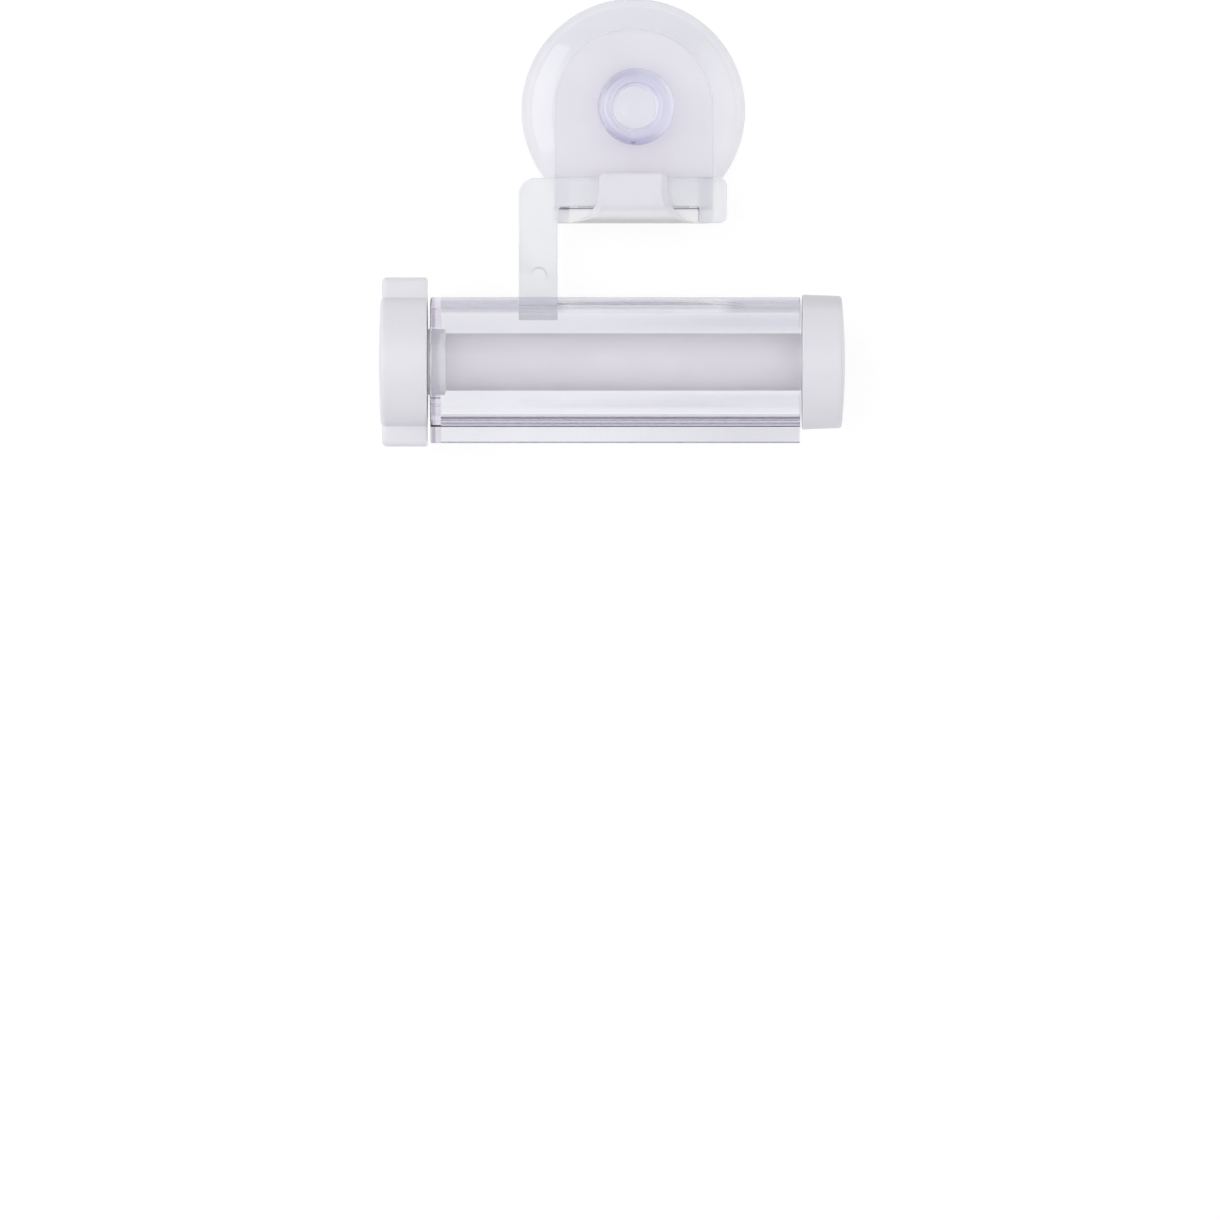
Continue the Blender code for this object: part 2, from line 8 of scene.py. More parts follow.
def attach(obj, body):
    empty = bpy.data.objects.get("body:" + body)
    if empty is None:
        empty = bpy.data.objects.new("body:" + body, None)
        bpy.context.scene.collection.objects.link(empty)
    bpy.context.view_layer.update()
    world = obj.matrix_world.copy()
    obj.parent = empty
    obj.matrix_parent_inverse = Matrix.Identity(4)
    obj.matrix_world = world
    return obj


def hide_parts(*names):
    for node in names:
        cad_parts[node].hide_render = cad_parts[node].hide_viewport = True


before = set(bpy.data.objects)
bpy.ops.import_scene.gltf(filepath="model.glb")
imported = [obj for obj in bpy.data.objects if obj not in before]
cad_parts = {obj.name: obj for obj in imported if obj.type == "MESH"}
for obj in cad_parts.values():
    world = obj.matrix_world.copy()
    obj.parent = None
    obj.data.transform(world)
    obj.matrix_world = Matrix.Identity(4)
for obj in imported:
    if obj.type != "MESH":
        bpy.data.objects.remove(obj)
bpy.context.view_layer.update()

# Wall-hung tube squeezer: suction cup, hook plate, hanger arm, clear sleeve, split roller,
# winged knob and end cap. Sizes are in millimetres, with X to the right, Z up and depth
# measured out from the wall; finishPiece() brings a drawn piece to metres.
mm = 0.001
turnSteps = 180  # flats in a full turn
cornerSteps = 8
weld = 0.0005  # mm, points closer than this are one
near = 0.01  # mm, points closer to a face than this lie on it
apart = 0.1  # mm, points farther from a face than this are off it
past = 1  # mm that a cutting tool runs past what it cuts
smoothAngle = math.radians(35)  # faces that meet at more than this meet in an edge
flatAngle = math.radians(0.2)  # faces that differ by less than this are one
keyDepth = 21.1  # the axis that the sleeve and the roller share
keyHeight = -51.0
alongX = Vector((1, 0, 0))
alongY = Vector((0, 1, 0))
cupMiddle = Vector((0, 0, 0))
keyMiddle = Vector((0, -keyDepth, keyHeight))


def fromFront(x, z, depth):
    # a point seen from the front, at a depth from the wall
    return Vector((x, -depth, z))


def fromSide(z, depth, x):
    return Vector((x, -depth, z))


def roundKey(side, up, x):
    # a point of a section across the sleeve, drawn about its axis
    return Vector((x, side - keyDepth, keyHeight + up))


def roundCorners(bm, corners):
    # corners is a list of (vertex, tangent length); those without a length stay sharp
    for vert, reach in corners:
        if reach:
            bmesh.ops.bevel(bm, geom=[vert], offset=reach, offset_type="OFFSET", profile=0.5,
                            segments=cornerSteps, affect="VERTICES", material=-1)


def lathe(points, place, middle, axis):
    # turns a chain of (along, radius, rounding) points into a solid
    bm = bmesh.new()
    verts = [bm.verts.new(place(along, radius)) for along, radius, _ in points]
    for pair in zip(verts, verts[1:]):
        bm.edges.new(pair)
    roundCorners(bm, [(vert, point[2]) for vert, point in zip(verts, points)])
    bmesh.ops.spin(bm, geom=bm.verts[:] + bm.edges[:], cent=middle, axis=axis,
                   angle=2 * math.pi, steps=turnSteps, use_merge=True)
    bmesh.ops.remove_doubles(bm, verts=bm.verts, dist=weld)
    bmesh.ops.recalc_face_normals(bm, faces=bm.faces)
    return bm


def latheOnCup(points):
    return lathe(points, lambda depth, radius: fromFront(radius, 0, depth), cupMiddle, alongY)


def latheOnKey(points):
    return lathe(points, lambda x, radius: roundKey(0, radius, x), keyMiddle, alongX)


def pull(bm, shift):
    # extrudes the one face of bm into a solid
    grown = bmesh.ops.extrude_face_region(bm, geom=bm.faces[:])["geom"]
    moved = [part for part in grown if isinstance(part, bmesh.types.BMVert)]
    bmesh.ops.translate(bm, verts=moved, vec=shift)
    bmesh.ops.recalc_face_normals(bm, faces=bm.faces)


def slab(corners, place, start, end):
    # a solid between two places, from corners of (u, v, rounding)
    bm = bmesh.new()
    verts = [bm.verts.new(place(u, v, start)) for u, v, _ in corners]
    bm.faces.new(verts)
    roundCorners(bm, [(vert, corner[2]) for vert, corner in zip(verts, corners)])
    pull(bm, place(0, 0, end) - place(0, 0, start))
    return bm


def cutOut(place, axis, level, moves):
    # a flat face whose edge runs through points (u, v, rounding) and, from the last point,
    # round arcs (centre u, centre v, angle, steps)
    bm = bmesh.new()
    first, last, corners = None, None, []
    for move in moves:
        if len(move) == 3:
            ahead = bm.verts.new(place(move[0], move[1], level))
            corners.append((ahead, move[2]))
            if last:
                bm.edges.new((last, ahead))
            first, last = first or ahead, ahead
        else:
            swept = bmesh.ops.spin(bm, geom=[last], cent=place(move[0], move[1], level),
                                   axis=axis, angle=move[2], steps=move[3])["geom_last"]
            last = [part for part in swept if isinstance(part, bmesh.types.BMVert)][0]
    bm.edges.new((last, first))
    roundCorners(bm, corners)
    bmesh.ops.contextual_create(bm, geom=bm.edges[:])
    return bm


def disc(radius, place, axis, centre, start, end):
    # a round bar between two places
    bm = bmesh.new()
    vert = bm.verts.new(place(centre[0] + radius, centre[1], start))
    bmesh.ops.spin(bm, geom=[vert], cent=place(*centre, start), axis=axis,
                   angle=2 * math.pi, steps=turnSteps, use_merge=True)
    bmesh.ops.remove_doubles(bm, verts=bm.verts, dist=weld)
    bmesh.ops.contextual_create(bm, geom=bm.edges[:])
    pull(bm, place(0, 0, end) - place(0, 0, start))
    return bm


def softenEdges(bm, width, steps, wanted=lambda a, b: True):
    # rounds the sharp edges whose two ends pass the test
    edges = [
        edge for edge in bm.edges
        if len(edge.link_faces) == 2 and edge.calc_face_angle() > smoothAngle
        and wanted(edge.verts[0].co, edge.verts[1].co)
    ]
    bmesh.ops.bevel(bm, geom=edges, offset=width, offset_type="OFFSET", segments=steps,
                    profile=0.5, affect="EDGES", clamp_overlap=True, material=-1)
    bmesh.ops.recalc_face_normals(bm, faces=bm.faces)
    return bm


def asObject(bm, name):
    mesh = bpy.data.meshes.new(name)
    bm.to_mesh(mesh)
    bm.free()
    drawn = bpy.data.objects.new(name, mesh)
    bpy.context.scene.collection.objects.link(drawn)
    return drawn


def combine(piece, bm, operation):
    # joins a solid to the piece, or cuts it out, and applies the result
    tool = asObject(bm, "tool")
    step = piece.modifiers.new("combine", "BOOLEAN")
    step.operation = operation
    step.solver = "EXACT"
    step.object = tool
    shaped = piece.evaluated_get(bpy.context.evaluated_depsgraph_get())
    mesh = bpy.data.meshes.new_from_object(shaped)
    piece.modifiers.remove(step)
    old = piece.data
    piece.data = mesh
    bpy.data.meshes.remove(old)
    bpy.data.objects.remove(tool)


def reopen(piece):
    # the piece's mesh as a bmesh again, with flat areas made one face
    bm = bmesh.new()
    bm.from_mesh(piece.data)
    bmesh.ops.remove_doubles(bm, verts=bm.verts, dist=weld)
    bmesh.ops.dissolve_limit(bm, angle_limit=flatAngle, verts=bm.verts[:],
                             edges=bm.edges[:], use_dissolve_boundaries=False)
    return bm


def finishPiece(piece, body, node, material):
    bm = bmesh.new()
    bm.from_mesh(piece.data)
    bmesh.ops.remove_doubles(bm, verts=bm.verts, dist=weld)
    bmesh.ops.recalc_face_normals(bm, faces=bm.faces)
    bmesh.ops.scale(bm, vec=(mm, mm, mm), verts=bm.verts)
    bm.to_mesh(piece.data)
    bm.free()
    piece.data.materials.clear()
    piece.data.materials.append(material)
    piece.data.shade_smooth()
    piece.data.set_sharp_from_angle(angle=smoothAngle)
    weighted = piece.modifiers.new("weighted_normals", "WEIGHTED_NORMAL")
    weighted.keep_sharp = True
    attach(piece, body)
    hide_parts(node)
    size = [(max(c) - min(c)) / mm for c in zip(*(v.co for v in piece.data.vertices))]
    print(f"{piece.name}: {size[0]:.2f} x {size[1]:.2f} x {size[2]:.2f} mm,",
          f"{len(piece.data.polygons)} faces")
    return piece


def toLinear(hexColour):
    # an sRGB colour such as "#e6e6ea" as the linear values that the shader takes
    parts = [int(hexColour[i:i + 2], 16) / 255 for i in (1, 3, 5)]
    return [c / 12.92 if c <= 0.04045 else ((c + 0.055) / 1.055) ** 2.4 for c in parts] + [1]


def addNode(tree, kind, settings=None, inputs=None):
    # one node, its settings, and its inputs: a value, or the output that feeds it
    node = tree.nodes.new(kind)
    for name, value in (settings or {}).items():
        setattr(node, name, value)
    for name, value in (inputs or {}).items():
        if isinstance(value, bpy.types.NodeSocket):
            tree.links.new(value, node.inputs[name])
        else:
            node.inputs[name].default_value = value
    return node


def blend(tree, amount, first, second):
    # a colour between two; inputs 0, 6 and 7 are the factor and the colours
    return addNode(tree, "ShaderNodeMix", {"data_type": "RGBA"}, {
        0: amount, 6: first, 7: second}).outputs[2]


def mixShaders(tree, amount, first, second):
    return addNode(tree, "ShaderNodeMixShader", inputs={
        "Fac": amount, 1: first, 2: second}).outputs["Shader"]


def within(tree, place, low, high, fade, most):
    # how much a stretch between two places counts: most inside it, nothing past its fade
    along = addNode(tree, "ShaderNodeMath", {"operation": "SUBTRACT"}, {
        0: place, 1: (low + high) / 2 * mm})
    off = addNode(tree, "ShaderNodeMath", {"operation": "ABSOLUTE"}, {0: along.outputs[0]})
    return addNode(tree, "ShaderNodeMapRange", inputs={
        "Value": off.outputs[0], "From Min": (high - low) / 2 * mm,
        "From Max": ((high - low) / 2 + fade) * mm,
        "To Min": most, "To Max": 0}).outputs["Result"]


smooth = {"interpolation_type": "SMOOTHSTEP"}
noiseRange = (0.3, 0.7)  # what a noise mostly keeps to
leanRange = (0.25, 0.85)  # from where to where a leaning surface loses a lamp's light


def mouldedPlastic(name, look):
    # A moulded part: colour drifts along the flow of the melt, and the fine skin left by the
    # mould scatters the gloss. Flow and skin are sizes in millimetres on the part, and wave
    # and grain are how high the two stand.
    material = bpy.data.materials.new(name)
    material.use_nodes = True
    tree = material.node_tree
    tree.nodes.clear()
    place = addNode(tree, "ShaderNodeTexCoord").outputs["Object"]
    flow = addNode(tree, "ShaderNodeTexNoise", inputs={
        "Vector": place, "Scale": 1 / (look["flow"] * mm), "Detail": 2, "Distortion": 0.4})
    ramp = addNode(tree, "ShaderNodeValToRGB", inputs={"Fac": flow.outputs["Fac"]})
    ends = zip(ramp.color_ramp.elements, noiseRange, (look["shade"], look["colour"]))
    for end, position, endColour in ends:
        end.position = position
        end.color = toLinear(endColour)
    plain = ramp.outputs["Color"]
    skin = addNode(tree, "ShaderNodeTexNoise", inputs={
        "Vector": place, "Scale": 1 / (look["skin"] * mm), "Detail": 3, "Roughness": 0.6})
    gloss = addNode(tree, "ShaderNodeMapRange", inputs={
        "Value": skin.outputs["Fac"], "From Min": noiseRange[0], "From Max": noiseRange[1],
        "To Min": look["roughness"][0], "To Max": look["roughness"][1]})
    waves = addNode(tree, "ShaderNodeBump", inputs={
        "Height": flow.outputs["Fac"], "Distance": look["wave"] * mm, "Strength": 1})
    grain = addNode(tree, "ShaderNodeBump", inputs={
        "Height": skin.outputs["Fac"], "Distance": look["grain"] * mm, "Strength": 1,
        "Normal": waves.outputs["Normal"]})
    colour = plain
    where = addNode(tree, "ShaderNodeSeparateXYZ", inputs={"Vector": place})
    steep = 1
    if "grazingShade" in look:
        # painted shade: clear plastic is greyed and turned violet where it is seen nearly
        # along its surface, for the dim room it mirrors there, and less so on its underside,
        # where the room is brighter
        slant = addNode(tree, "ShaderNodeLayerWeight", inputs={"Blend": 0.5})
        height = addNode(tree, "ShaderNodeMapRange", inputs={
            "Value": where.outputs["Z"], "From Min": look["edgeLow"] * mm,
            "From Max": look["edgeHigh"] * mm, "To Min": look["edgeBelow"], "To Max": 1})
        amount = addNode(tree, "ShaderNodeMapRange", smooth, {
            "Value": slant.outputs["Facing"], "From Min": look["edgeStart"],
            "From Max": look["edgeEnd"], "To Min": 0, "To Max": height.outputs["Result"]})
        colour = blend(tree, amount.outputs["Result"], colour, toLinear(look["grazingShade"]))
        # 1 where the wall is seen steeply, for the bands of painted shade and light that show
        # only there
        steep = addNode(tree, "ShaderNodeMapRange", inputs={
            "Value": slant.outputs["Facing"], "From Min": look["steepStart"],
            "From Max": look["steepEnd"]}).outputs["Result"]
    bands = [(steep, band) for band in look.get("steepLightAndShadeBands", [])]
    bands += [(1, band) for band in look.get("bands", [])]
    for weight, (axis, low, high, fade, bandTint, *reach) in bands:
        # A stretch of the piece, between two places on an axis, has a tint of its own, mostly
        # painted light and shade, or None for the plain one. With a reach it also keeps
        # between two places along X.
        most = within(tree, where.outputs["X"], *reach, weight) if reach else weight
        inside = within(tree, where.outputs[axis], low, high, fade, most)
        colour = blend(tree, inside, colour, toLinear(bandTint) if bandTint else plain)
    if "arcs" in look:
        # painted light and shade: arcs about one place on the front, lighter or darker than
        # the rest
        shifted = addNode(tree, "ShaderNodeVectorMath", {"operation": "SUBTRACT"}, {
            0: place, 1: fromFront(*look["arcMiddle"], 0) * mm})
        flat = addNode(tree, "ShaderNodeVectorMath", {"operation": "MULTIPLY"}, {
            0: shifted.outputs["Vector"], 1: (1, 0, 1)})
        radius = addNode(tree, "ShaderNodeVectorMath", {"operation": "LENGTH"}, {
            0: flat.outputs["Vector"]})
        aim = addNode(tree, "ShaderNodeVectorMath", {"operation": "NORMALIZE"}, {
            0: flat.outputs["Vector"]})
        inFront = addNode(tree, "ShaderNodeMath", {"operation": "LESS_THAN"}, {
            0: where.outputs["Y"], 1: -look["arcDepth"] * mm})
        for turn, spread, start, end, arcShading in look["arcs"]:
            toward = Vector((math.cos(math.radians(turn)), 0, math.sin(math.radians(turn))))
            lined = addNode(tree, "ShaderNodeVectorMath", {"operation": "DOT_PRODUCT"}, {
                0: aim.outputs["Vector"], 1: toward})
            around = addNode(tree, "ShaderNodeMapRange", smooth, {
                "Value": lined.outputs["Value"], "From Min": math.cos(math.radians(spread)),
                "From Max": 1, "To Min": 0, "To Max": inFront.outputs[0]})
            outward = addNode(tree, "ShaderNodeMapRange", smooth, {
                "Value": radius.outputs["Value"], "From Min": start * mm, "From Max": end * mm,
                "To Min": 0, "To Max": around.outputs["Result"]})
            colour = blend(tree, outward.outputs["Result"], colour,
                           toLinear(arcShading) if arcShading else plain)
    shader = addNode(tree, "ShaderNodeBsdfPrincipled", inputs={
        "Base Color": colour, "Roughness": gloss.outputs["Result"],
        "IOR": look["ior"], "Metallic": 0, "Transmission Weight": look.get("clear", 0),
        "Normal": grain.outputs["Normal"]})
    surface = shader.outputs["BSDF"]
    if "passed" in look:
        # lamps shine through the clear plastic, less so where its surface leans away
        rays = addNode(tree, "ShaderNodeLightPath")
        leaning = addNode(tree, "ShaderNodeLayerWeight", inputs={"Blend": 0.5})
        lost = addNode(tree, "ShaderNodeMapRange", smooth, {
            "Value": leaning.outputs["Facing"], "From Min": leanRange[0],
            "From Max": leanRange[1]})
        kept = blend(tree, lost.outputs["Result"], toLinear(look["passed"]),
                     toLinear(look["passedEdge"]))
        through = addNode(tree, "ShaderNodeBsdfTransparent", inputs={"Color": kept})
        surface = mixShaders(tree, rays.outputs["Is Shadow Ray"], surface,
                             through.outputs["BSDF"])
    out = addNode(tree, "ShaderNodeOutputMaterial", inputs={"Surface": surface})
    if "depthTint" in look:
        # the longer the light's way through the plastic, the more violet it turns
        body = addNode(tree, "ShaderNodeVolumeAbsorption", inputs={
            "Color": toLinear(look["depthTint"]), "Density": look["depthDensity"]})
        tree.links.new(body.outputs["Volume"], out.inputs["Volume"])
    return material


# Soft PVC, injection moulded with a polished tool: clear, a little cloudy, violet in the
# thick head, and shiny in broad soft patches.
softPvc = mouldedPlastic("softPvcMoulded", {
    "colour": "#f0f0f4", "shade": "#ececf0", "flow": 9, "skin": 1.1, "wave": 0.02,
    "grain": 0.001, "roughness": (0.05, 0.1), "ior": 1.53, "clear": 0.85,
    "passed": "#f6f6f8", "passedEdge": "#d4d2e0", "depthTint": "#b9b6cf",
    "depthDensity": 14,
    # painted shade greying the dish towards its top, and the head paler and bluer than the
    # rest
    "bands": [("Z", 14, 24, 8, "#e8e8ed"), ("Y", -17, -12, 0.01, "#f3f4fb")],
    # Painted light and shade: the darker and lighter arcs into which the thick head bends what
    # is beside it. Middle and half width in degrees, and the radii between which each sets in.
    "arcMiddle": (0.55, 0.3), "arcDepth": 12,
    "arcs": [
        (225, 80, 4.0, 4.4, "#ffffff"), (240, 100, 5.1, 5.3, "#ebebf6"),
        (70, 75, 4.3, 5.0, "#e7e7f3"), (15, 60, 5.2, 5.7, "#e4e3ee"),
        (10, 50, 6.4, 6.9, "#ffffff"), (180, 60, 7.0, 7.3, "#dedde9"),
        (262, 55, 5.8, 7.0, "#c3bcd8"), (122, 48, 5.3, 6.7, "#d5d4e4"),
    ]})

# Unfilled polypropylene with a trace of pink, moulded in a satin tool: lets light through but
# no clear picture.
naturalPolypropylene = mouldedPlastic("naturalPolypropyleneMoulded", {
    "colour": "#f3f1f8", "shade": "#efedf3", "flow": 12, "skin": 1.2, "wave": 0.04,
    "grain": 0.002, "roughness": (0.3, 0.38), "ior": 1.49, "clear": 0.28,
    "passed": "#e6e4e8", "passedEdge": "#d0cdd5",
    "bands": [
        ("X", 12.9, 16.1, 0.3, "#dcd8e3"), ("Z", -13.7, 20, 0.2, None),  # painted shade on the leg behind the stop
        ("Z", -20.2, -19.9, 0.1, "#8a8690"),  # painted shadow in the slit between arm and shelf
        ("Z", -24, -20.6, 0.3, "#fcfafd"),  # painted light: the shelf whiter, as light fills it from below
        # the tongue in the plain colour, and painted light whitening its foot
        ("Y", -18, -15.1, 0.01, None), ("Z", -24, -22.0, 2, "#ffffff"),
    ]})

# Milky polypropylene, moulded: bluish white, a little cloudy, so that what lies right behind
# it shows.
milkyPolypropylene = mouldedPlastic("milkyPolypropyleneMoulded", {
    "colour": "#f6f7f9", "shade": "#f2f3f5", "flow": 14, "skin": 1.2, "wave": 0.04,
    "grain": 0.002, "roughness": (0.17, 0.24), "ior": 1.49, "clear": 0.6,
    "passed": "#dedee4", "passedEdge": "#c8c7cf",
    "arcMiddle": (-18.95, -33.5), "arcDepth": 14.5,  # the rim left by the ejector pin, with painted shade along its upper side
    "arcs": [(70, 130, 1.2, 1.45, "#d6d7dd"), (70, 150, 1.6, 1.8, None)]})

# low, high and fade of a band: where the front of the wall turns over into its top, and,
# along X, towards the cap
wallTop = (-39.4, -38.2, 0.2)
openEnd = (21, 40, 31)

# Crystal polystyrene, moulded in a polished tool: hard, glassy and bright, violet only where
# it is seen along a wall, partly from its body and partly painted shade; its bands are
# painted light and shade.
crystalPolystyrene = mouldedPlastic("crystalPolystyreneMoulded", {
    "colour": "#f8f8fb", "shade": "#f6f6f9", "flow": 16, "skin": 4, "wave": 0.006,
    "grain": 0, "roughness": (0.02, 0.03), "ior": 1.59, "clear": 1.0,
    "grazingShade": "#b4b2be", "edgeStart": 0.25, "edgeEnd": 0.8,
    "edgeLow": -54, "edgeHigh": -48, "edgeBelow": 0.3, "steepStart": 0.02, "steepEnd": 0.14,
    "steepLightAndShadeBands": [
        ("Z", *wallTop, "#bebcc7"),  # painted shade where the wall is seen along its whole height
        ("Z", *wallTop, "#dad9e6", -23.0, -15.2, 0.1),  # the same painted shade, paler in front of the arm
        ("Z", -39.8, -39.1, 0.8, "#ffffff", -13.0, 17.0, 3.0),  # painted light, white under the hook
    ],
    "bands": [
        # painted shade: a little greyer above the roller, and towards the open end above and
        # below it
        ("Z", -44.2, -41.2, 0.6, "#f4f4f7"),
        ("Z", -44.2, -41.2, 0.6, "#ededf2", *openEnd),
        ("Z", -61.0, -57.7, 0.3, "#f1f1f4", *openEnd),
        ("Z", -66.8, -64.2, 0.2, "#f0f0f3", *openEnd),
        ("Z", -62.8, -61.7, 0.2, "#ffffff"),  # painted light where the slot lets light in
        ("Z", -63.6, -63.05, 0.1, "#a29ab8"),  # painted shade at the root of the lips, seen a long way through
        ("Z", -67.3, -66.95, 0.1, "#c4c1ce"),  # painted shade along their lower edge
        ("X", -41.0, -39.6, 0.1, "#bcb6c2"), ("X", -39.5, -38.6, 0.2, "#e2dee8"),  # painted shade on the end wall, for the dark gap and knob it mirrors
        ("Z", -57.7, -44.3, 0.01, None),  # none of these in front of the roller
    ],
    "passed": "#fcfcfe", "passedEdge": "#e4e2ea", "depthTint": "#b2add0", "depthDensity": 10})

# White ABS from a spark-eroded tool: opaque, satin, with a very fine even grain. The real
# grain is about 0.1 mm; it is drawn at 0.35 mm, the finest that shows.
satinAbs = mouldedPlastic("satinAbsMoulded", {
    "colour": "#e7e6ec", "shade": "#e4e3e9", "flow": 10, "skin": 0.35, "wave": 0.03,
    "grain": 0.006, "roughness": (0.32, 0.44), "ior": 1.52,
    "bands": [
        ("X", -41.4, -41.0, 0.1, "#ffffff"),  # painted light on the knob's inner edge, against the shade of the gap
        ("Z", -39.0, -36.0, 2.0, "#d8d7dd", 33.0, 43.0, 0.1),  # painted shade on top of the cap
    ]})

# The roller's ABS is the same white with a warmer, greyer cast, and drawn out of a core.
greyedAbs = mouldedPlastic("greyedAbsMoulded", {
    "colour": "#dfdadf", "shade": "#dad5da", "flow": 10, "skin": 0.35, "wave": 0.03,
    "grain": 0.006, "roughness": (0.34, 0.46), "ior": 1.52,
    "bands": [("X", -41.3, -37.5, 0.01, "#fdfbfd")]})  # painted light: the collar whiter than the rod, against the shade around it

print("materials made")

cupSizes = {
    "radius": 22.5, "edge": 0.9, "rimBevel": 1.1, "rimRound": 0.35, "seal": 1.5,
    "hollow": 3.2, "height": 9.0, "shoulder": 8.6, "bulge": 2.2, "bulgeRound": 6.6,
    "neck": 4.5, "headBack": 12.0, "headRadius": 7.7, "headHeight": 4.8, "headRound": 1.8,
    "headUndercut": 0.8, "recess": 4.8, "recessDepth": 2.2, "recessRound": 0.6,
    "recessLip": 0.4, "headAcross": 0.55, "headUp": 0.3,
    "headMargin": 0.15,  # how far below the head's back the shift takes hold
    "notchWidth": 1.0, "notchDepth": 1.2, "notchStart": 4.4, "notchEnd": 7.0,
    "notchRound": 0.9,  # of half its width
    "neckFillet": 0.3, "shoulderRound": 0.4,
    "hollowEase": 0.6,  # how far the hollow's broad rounding stays short of the seal
}


def makeCup(s):
    headFront = s["headBack"] + s["headHeight"]
    recessFloor = headFront - s["recessDepth"]
    rimDepth = s["edge"] + s["rimBevel"]
    rimRadius = s["radius"] - s["rimBevel"]
    sealRadius = s["radius"] - s["seal"]
    slope = Vector((rimRadius - s["shoulder"], rimDepth - s["height"]))
    crest = Vector((s["shoulder"], s["height"])) + slope / 2
    crest += Vector((-slope.y, slope.x)).normalized() * s["bulge"]
    bm = latheOnCup([
        (recessFloor, 0, 0),
        (recessFloor, s["recess"], s["recessRound"]),
        (headFront, s["recess"], s["recessLip"]),
        (headFront, s["headRadius"], s["headRound"]),
        (s["headBack"], s["headRadius"], s["headUndercut"]),
        (s["headBack"], s["neck"], s["neckFillet"]),
        (s["height"], s["neck"], s["neckFillet"]),
        (s["height"], s["shoulder"], s["shoulderRound"]),
        (crest.y, crest.x, s["bulgeRound"]),
        (rimDepth, rimRadius, s["rimRound"]),
        (s["edge"], s["radius"], s["rimRound"]),
        (0, s["radius"], s["rimRound"]),
        (0, sealRadius, s["rimRound"]),
        (s["hollow"], sealRadius / 2, sealRadius / 2 - s["hollowEase"]),
        (s["hollow"], 0, 0),
    ])
    # soft PVC: the head has set a little to one side of its neck
    head = [vert for vert in bm.verts if -vert.co.y > s["headBack"] - s["headMargin"]]
    bmesh.ops.translate(bm, verts=head, vec=fromFront(s["headAcross"], s["headUp"], 0))
    piece = asObject(bm, "suction_cup_body")
    half = s["notchWidth"] / 2
    corner = half * s["notchRound"]
    notch = slab([
        (-half, -s["notchStart"], 0), (half, -s["notchStart"], 0),
        (half, -s["notchEnd"], corner), (-half, -s["notchEnd"], corner),
    ], fromFront, headFront - s["notchDepth"], headFront + past)
    combine(piece, notch, "DIFFERENCE")
    return finishPiece(piece, "cup", "suction_cup", softPvc)


makeCup(cupSizes)

plateSizes = {
    "back": 9.3, "front": 11.7, "halfWidth": 16.0, "bottom": -23.0, "footRound": 1.0,
    "edge": 0.25, "neckHole": 4.8, "legInside": 13.0, "windowTop": -14.4, "windowRound": 0.5,
}
hookSizes = {
    "root": 10.5, "halfWidth": 12.9, "shelfTop": -20.0, "shelfBottom": -23.0,
    "tongueBack": 15.3, "tongueFront": 17.5, "tongueTop": -12.9, "lipRound": 0.7,
    "bend": 2.0, "fillet": 0.5, "armFront": 15.0, "tongueHalfWidth": 6.9,
    "tongueRound": 1.3, "crown": 0.3, "flare": 6.5, "flareAngle": 78, "edge": 0.3,
    "bevel": 1.3, "edgeSteps": 4,
}


def makeHook(s):
    # shelf and tongue: one bent section, with the tongue cut free of the shelf in front
    hook = asObject(slab([
        (s["shelfTop"], s["root"], 0),
        (s["shelfTop"], s["tongueBack"], s["fillet"]),
        (s["tongueTop"], s["tongueBack"], s["lipRound"]),
        (s["tongueTop"], s["tongueFront"], s["lipRound"]),
        (s["shelfBottom"], s["tongueFront"], s["bend"]),
        (s["shelfBottom"], s["root"], 0),
    ], fromSide, -s["halfWidth"], s["halfWidth"]), "hook")
    for way in (-1, 1):
        combine(hook, tongueCut(s, way), "DIFFERENCE")
        combine(hook, tongueBevel(s, way), "DIFFERENCE")
    bm = reopen(hook)
    bpy.data.objects.remove(hook)
    return softenEdges(bm, s["edge"], s["edgeSteps"],
                       lambda a, b: max(-a.y, -b.y) > s["root"] + apart)


def tongueCut(s, way):
    # what is cut away on one side of the tongue, in front of the arm
    beyond = way * (s["halfWidth"] + past)
    side = way * s["tongueHalfWidth"]
    flareMiddle = side + way * s["flare"]
    waist = s["shelfBottom"] + s["flare"]
    angle = math.radians(s["flareAngle"])
    footX = flareMiddle - way * s["flare"] * math.cos(angle)
    bm = cutOut(fromFront, alongY, s["armFront"], [
        (0, s["tongueTop"], 0),
        (side, s["tongueTop"] - s["crown"], s["tongueRound"]),
        (side, waist, 0),
        (flareMiddle, waist, -way * angle, 3 * cornerSteps),
        (footX, s["shelfBottom"] - past, 0),
        (beyond, s["shelfBottom"] - past, 0),
        (beyond, s["tongueTop"] + past, 0),
        (0, s["tongueTop"] + past, 0),
    ])
    pull(bm, Vector((0, s["armFront"] - s["tongueFront"] - past, 0)))
    return bm


